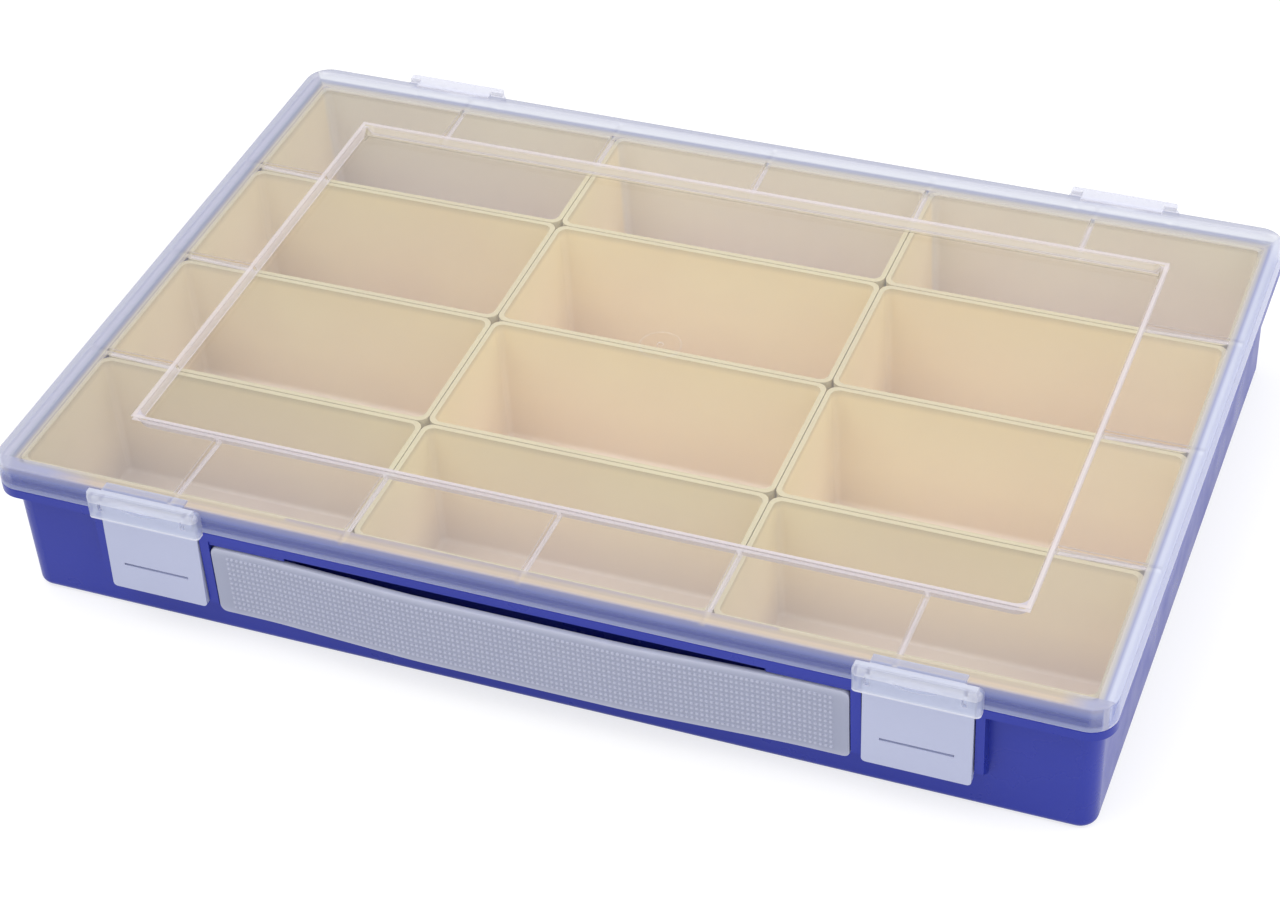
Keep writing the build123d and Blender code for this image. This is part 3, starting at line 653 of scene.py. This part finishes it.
def lid_haze_and_painted_light(tree):
    """How much the lid hides and in which colour: milky haze, painted light and shade over its
    zones, and painted highlights along its edges.
    """
    share, colour = PANEL_ZONE
    for mask, zone_share, zone_colour in lid_zones(tree):
        share = mix_share(tree, mask, share, zone_share)
        colour = mix_colour(tree, mask, colour, zone_colour)
    uneven = scaled(tree, noise(tree, scale=9, detail=2), HAZE_LEAST, HAZE_MOST)
    share = math_node(tree, "MULTIPLY", share, uneven)
    # Painted highlight: a whiter colour that hides more along every edge of the lid.
    edges = math_node(tree, "MULTIPLY", painted_edge_highlights(tree), EDGE_SHARE)
    edge_mask = scaled(tree, edges, 0, 1, 0.0, EDGE_SHARE)
    return largest(tree, share, edges), mix_colour(tree, edge_mask, colour, EDGE_COLOUR)


def clear_plastic():
    """The lid: clear plastic with milky haze, painted light and shade over its zones and painted
    white highlights on its edges, that lets lamps through.
    """
    material, tree, shader = new_material("lid_clear")
    tree.nodes.remove(shader)
    through = node(tree, "ShaderNodeBsdfTransparent")
    through.inputs["Color"].default_value = (*CLEAR_COLOUR, 1)
    gloss = node(tree, "ShaderNodeBsdfGlossy")
    gloss.inputs["Color"].default_value = (*WHITE, 1)
    surface(tree, gloss, gloss=(45, 3), roughness=(0.05, 0.12), grain=(25, 1), height=0.05 * MM)
    body = node(tree, "ShaderNodeMixShader")
    tree.links.new(edge_shine(tree), body.inputs["Fac"])
    tree.links.new(through.outputs["BSDF"], body.inputs[1])
    tree.links.new(gloss.outputs["BSDF"], body.inputs[2])
    share, colour = lid_haze_and_painted_light(tree)
    haze = node(tree, "ShaderNodeBsdfDiffuse")
    tree.links.new(colour, haze.inputs["Color"])
    path = node(tree, "ShaderNodeLightPath")
    as_light = largest(tree, path.outputs["Is Shadow Ray"], path.outputs["Is Diffuse Ray"])
    seen = math_node(tree, "SUBTRACT", 1.0, as_light)
    # Haze with painted light and shade, left out for shadow and diffuse rays.
    milky = node(tree, "ShaderNodeMixShader")
    tree.links.new(math_node(tree, "MULTIPLY", share, seen), milky.inputs["Fac"])
    tree.links.new(body.outputs["Shader"], milky.inputs[1])
    tree.links.new(haze.outputs["BSDF"], milky.inputs[2])
    tree.links.new(milky.outputs["Shader"], tree.nodes["Material Output"].inputs["Surface"])
    return material


def dress(material, *names):
    """Gives CAD nodes a material in place of what they came with."""
    for name in names:
        slots = NODES[name].data.materials
        slots.clear()
        slots.append(material)


# Meshes

def mesh_object(name, vertices, faces, material, smooth=True):
    """An object from vertices in millimetres and faces."""
    mesh = bpy.data.meshes.new(name)
    mesh.from_pydata([tuple(value * MM for value in vertex) for vertex in vertices], [], faces)
    mesh.validate()
    mesh.materials.append(material)
    for polygon in mesh.polygons:
        polygon.use_smooth = smooth
    made = bpy.data.objects.new(name, mesh)
    bpy.context.scene.collection.objects.link(made)
    return made


def sharpen(piece):
    """Keeps the sharper edges crisp under smooth shading."""
    piece.data.set_sharp_from_angle(angle=math.radians(SHARP_ANGLE))


# Strap

def bend_slope(x, corner, before, after):
    """The line's slope at x near a corner, turning evenly over the bend."""
    share = min(max((x - corner + BEND_HALF) / (2 * BEND_HALF), 0), 1)
    return before + (after - before) * share


def strap_slope(x):
    """How the strap's middle line leans in plan at x, for x of zero or more."""
    if x < (BEND_INNER_X + BEND_OUTER_X) / 2:
        return bend_slope(x, BEND_INNER_X, 0, STRAP_LEAN)
    return bend_slope(x, BEND_OUTER_X, STRAP_LEAN, 0)


def strap_line(x):
    """The strap's middle line in plan at x: its y, summed from its slope, and its normal."""
    side = abs(x)
    total = 0.0
    for corner, rising in ((BEND_INNER_X, 1), (BEND_OUTER_X, -1)):
        past = side - corner
        if past > BEND_HALF:
            total += rising * STRAP_LEAN * past
        elif past > -BEND_HALF:
            total += rising * STRAP_LEAN * (past + BEND_HALF) ** 2 / (4 * BEND_HALF)
    y = STRAP_MID_Y - STRAP_BOW + total
    slope = strap_slope(side) * (1 if x >= 0 else -1)
    length = math.hypot(1, slope)
    return y, (slope / length, -1 / length)


def strap_profile(half_height, rows):
    """The section as (outwards, z from the middle): rows up the front, then round the back."""
    half, edge = STRAP_HALF_THICKNESS, half_height
    long, mid = STRAP_ROUNDING, STRAP_ROUNDING_MID
    front = [(half, z) for z in rows]
    top = [(half, edge - long), (half - mid, edge - mid), (half - long, edge)]
    over = [(-half + long, edge), (-half + mid, edge - mid), (-half, edge - long)]
    back = [(-half, -edge + long), (-half + mid, -edge + mid), (-half + long, -edge)]
    under = [(half - long, -edge), (half - mid, -edge + mid), (half, -edge + long)]
    return front + top + over + back + under


def strap_section(x):
    """The points of the strap's section at x, lower within the rounded corners."""
    full = (STRAP_HIGH - STRAP_LOW) / 2
    past = max(abs(x) - (STRAP_END_X - STRAP_CORNER), 0)
    half_height = full - STRAP_CORNER + math.sqrt(max(STRAP_CORNER ** 2 - past ** 2, 0))
    border = full - DOT_ROWS * DOT_PITCH_Z / 2
    share = (half_height - border) / (full - border)
    rows = [(row - DOT_ROWS / 2) * DOT_PITCH_Z * share for row in range(DOT_ROWS + 1)]
    y, (normal_x, normal_y) = strap_line(x)
    middle = (STRAP_HIGH + STRAP_LOW) / 2
    return [(x + out * normal_x, y + out * normal_y, middle + z)
            for out, z in strap_profile(half_height, rows)]


def add_dot(vertices, faces, corners, normal):
    """One raised dot in a cell of the front face, corners given counter-clockwise."""
    points = [Vector(vertices[corner]) for corner in corners]
    middle = sum(points, Vector()) / 4
    across = (points[1] - points[0]).normalized()
    up = Vector((0, 0, 1))
    foot = len(vertices)
    top = foot + DOT_SIDES
    for radius, height in ((DOT_RADIUS, 0), (DOT_TOP_RADIUS, DOT_HEIGHT)):
        for step in range(DOT_SIDES):
            angle = math.radians(DOT_TURN + 360 / DOT_SIDES * step)
            point = middle + radius * (math.cos(angle) * across + math.sin(angle) * up)
            vertices.append(tuple(point + normal * height))
    for side in range(4):
        here = foot + 2 * side
        before = foot + (2 * side - 1) % DOT_SIDES
        faces.append((corners[side], corners[(side + 1) % 4], here + 1, here))
        faces.append((corners[side], here, before))
    for step in range(DOT_SIDES):
        following = (step + 1) % DOT_SIDES
        faces.append((foot + step, foot + following, top + following, top + step))
    faces.append(tuple(range(top, top + DOT_SIDES)))


def strap_columns(low, high):
    """The x values of the sections from low to high, one at every dot column."""
    columns = []
    if low < -DOTS_TO_X:
        columns += [step - STRAP_END_X for step in reversed(STRAP_CORNER_STEPS)]
    first = round(max(low, -DOTS_TO_X) / DOT_PITCH_X)
    last = round(min(high, DOTS_TO_X) / DOT_PITCH_X)
    columns += [step * DOT_PITCH_X for step in range(first, last + 1)]
    if high > DOTS_TO_X:
        columns += [STRAP_END_X - step for step in STRAP_CORNER_STEPS]
    return columns


def strap_piece(name, low, high, material):
    """A stretch of the strap between two x values, dotted on its front."""
    columns = strap_columns(low, high)
    vertices, faces = [], []
    size = len(strap_section(0))
    for x in columns:
        vertices += strap_section(x)
    dots_end = DOTS_TO_X + COLUMN_ROOM
    for index in range(len(columns) - 1):
        here, there = index * size, (index + 1) * size
        _, normal = strap_line((columns[index] + columns[index + 1]) / 2)
        dotted = abs(columns[index]) < dots_end and abs(columns[index + 1]) < dots_end
        for step in range(size):
            following = (step + 1) % size
            corners = (here + step, there + step, there + following, here + following)
            if dotted and step < DOT_ROWS:
                add_dot(vertices, faces, corners, Vector((*normal, 0)))
            else:
                faces.append(corners)
    if low < -dots_end:
        faces.append(tuple(range(size - 1, -1, -1)))
    if high > dots_end:
        last = (len(columns) - 1) * size
        faces.append(tuple(range(last, last + size)))
    piece = mesh_object(name, vertices, faces, material)
    sharpen(piece)
    return piece


def strap_lug(name, side, material):
    """The lug behind one end of the strap, with a sloping outer shoulder."""
    vertices = [(side * x, y, z) for y in (LUG_FRONT_Y, LUG_BACK_Y) for x, z in LUG_OUTLINE]
    count = len(LUG_OUTLINE)
    faces = [tuple(range(count)), tuple(range(2 * count - 1, count - 1, -1))]
    faces += [(step, step + count, (step + 1) % count + count, (step + 1) % count)
              for step in range(count)]
    if side < 0:
        faces = [face[::-1] for face in faces]
    piece = mesh_object(name, vertices, faces, material)
    bevel = piece.modifiers.new("edge", "BEVEL")
    bevel.width = LUG_ROUNDING * MM
    bevel.segments = LUG_ROUND_STEPS
    sharpen(piece)
    return piece


def add_strap(material):
    """The whole strap: rigid stretches on their bodies, and a piece over each bend that is on no
    body.
    """
    grip = strap_piece("handle_grip", -GRIP_TO_X, GRIP_TO_X, material)
    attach(grip, "strap_grip")
    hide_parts("strap_grip")
    for side, word in ((-1, "left"), (1, "right")):
        def stretch(name, near, far):
            low, high = sorted((side * near, side * far))
            return strap_piece(f"{name}_{word}", low, high, material)
        end_body = "base" if side < 0 else "strap_end_right"
        side_body = f"strap_side_{word}"
        end = stretch("handle_end", END_FROM_X, STRAP_END_X)
        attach(end, end_body)
        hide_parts(f"strap_end_{word}")
        lug = strap_lug(f"handle_lug_{word}", side, material)
        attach(lug, end_body)
        run = stretch("handle_side", SIDE_FROM_X, SIDE_TO_X)
        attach(run, side_body)
        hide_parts(f"strap_side_{word}")
        outer = stretch("handle_outer_bend", SIDE_TO_X, END_FROM_X)
        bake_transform(outer)
        inner = stretch("handle_inner_bend", GRIP_TO_X, SIDE_FROM_X)
        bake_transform(inner)


# Gate ring

def add_gate_ring(material):
    """A faint raised ring on the lid's panel round the moulding gate."""
    vertices, faces = [], []
    for step in range(GATE_STEPS):
        angle = 2 * math.pi * step / GATE_STEPS
        for out, up in GATE_SECTION:
            radius = GATE_RADIUS + out
            vertices.append((radius * math.cos(angle), GATE_MID_Y + radius * math.sin(angle),
                             GATE_PANEL_Z + up))
    size = len(GATE_SECTION)
    for step in range(GATE_STEPS):
        here, there = step * size, (step + 1) % GATE_STEPS * size
        faces += [(here + k, here + k + 1, there + k + 1, there + k) for k in range(size - 1)]
    ring = mesh_object("lid_gate_ring", vertices, faces, material)
    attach(ring, "lid")


# Stage

def floor_shader(tree):
    """White to the camera and to mirrors, darker where shaded, and plain to other rays."""
    shaded = node(tree, "ShaderNodeBsdfDiffuse")
    shaded.inputs["Color"].default_value = (FLOOR_SHADED, FLOOR_SHADED, FLOOR_SHADED, 1)
    glow = node(tree, "ShaderNodeEmission")
    glow.inputs["Strength"].default_value = 1.0 - FLOOR_SHADED * FLOOR_LIT
    both = node(tree, "ShaderNodeAddShader")
    tree.links.new(shaded.outputs["BSDF"], both.inputs[0])
    tree.links.new(glow.outputs["Emission"], both.inputs[1])
    plain = node(tree, "ShaderNodeBsdfDiffuse")
    plain.inputs["Color"].default_value = (*FLOOR_COLOUR, 1)
    mixed = node(tree, "ShaderNodeMixShader")
    tree.links.new(seen_directly(tree), mixed.inputs["Fac"])
    tree.links.new(plain.outputs["BSDF"], mixed.inputs[1])
    tree.links.new(both.outputs["Shader"], mixed.inputs[2])
    return mixed.outputs["Shader"]


def add_floor():
    """A plain floor under the box."""
    material, tree, shader = new_material("floor_white")
    tree.nodes.remove(shader)
    tree.links.new(floor_shader(tree), tree.nodes["Material Output"].inputs["Surface"])
    half = FLOOR_HALF
    corners = [(-half, -half, 0), (half, -half, 0), (half, half, 0), (-half, half, 0)]
    floor = mesh_object("floor", corners, [(0, 1, 2, 3)], material, smooth=False)


def add_world():
    """White to the camera and to mirrors, softer as light."""
    world = bpy.data.worlds.new("studio")
    bpy.context.scene.world = world
    world.use_nodes = True
    tree = world.node_tree
    background = tree.nodes["Background"]
    level = scaled(tree, seen_directly(tree), WORLD_LIGHT, 1.0, 0.0, 1.0)
    tree.links.new(level, background.inputs["Strength"])
    background.inputs["Color"].default_value = (*WHITE, 1)


def add_lamp(name, place, target, size, power):
    """A square soft lamp that points at a target."""
    data = bpy.data.lights.new(name, "AREA")
    data.size = size
    data.energy = power
    lamp = bpy.data.objects.new(name, data)
    lamp.location = place
    lamp.rotation_euler = (Vector(target) - Vector(place)).to_track_quat("-Z", "Y").to_euler()
    bpy.context.scene.collection.objects.link(lamp)


def add_camera():
    """The camera at the photograph's place and angle."""
    sin_yaw, cos_yaw = math.sin(CAMERA_YAW), math.cos(CAMERA_YAW)
    sin_pitch, cos_pitch = math.sin(CAMERA_PITCH), math.cos(CAMERA_PITCH)
    forward = Vector((sin_yaw * cos_pitch, cos_yaw * cos_pitch, -sin_pitch))
    level = Vector((cos_yaw, -sin_yaw, 0))
    upright = level.cross(forward)
    right = math.cos(CAMERA_ROLL) * level + math.sin(CAMERA_ROLL) * upright
    up = math.cos(CAMERA_ROLL) * upright - math.sin(CAMERA_ROLL) * level
    data = bpy.data.cameras.new("camera")
    data.sensor_fit = "HORIZONTAL"
    data.sensor_width = SENSOR_WIDTH
    data.lens = SENSOR_WIDTH * FOCAL_PIXELS / IMAGE_WIDTH
    data.clip_start = CLIP_NEAR
    data.clip_end = CLIP_FAR
    camera = bpy.data.objects.new("camera", data)
    turn = Matrix((right, up, -forward)).transposed().to_4x4()
    camera.matrix_world = Matrix.Translation(CAMERA_AT) @ turn
    bpy.context.scene.collection.objects.link(camera)
    bpy.context.scene.camera = camera


add_camera()

blue = moulded_plastic("base_blue", BLUE, roughness=0.3, ior=1.36)
grey = moulded_plastic("clip_grey", GREY, roughness=0.4, ior=1.49)
rubber = dotted_rubber("strap_grey")
cream = cream_plastic()
clear = clear_plastic()

dress(blue, "base")
dress(clear, "lid")
dress(grey, "latch_left", "latch_right", "hinge_clip_left", "hinge_clip_right")
dress(cream, *BIN_NAMES)
add_strap(rubber)
add_gate_ring(clear)

add_floor()
add_world()
for lamp_name, lamp_values in LAMPS.items():
    add_lamp(lamp_name, *lamp_values)

bpy.context.scene.view_settings.view_transform = "Standard"
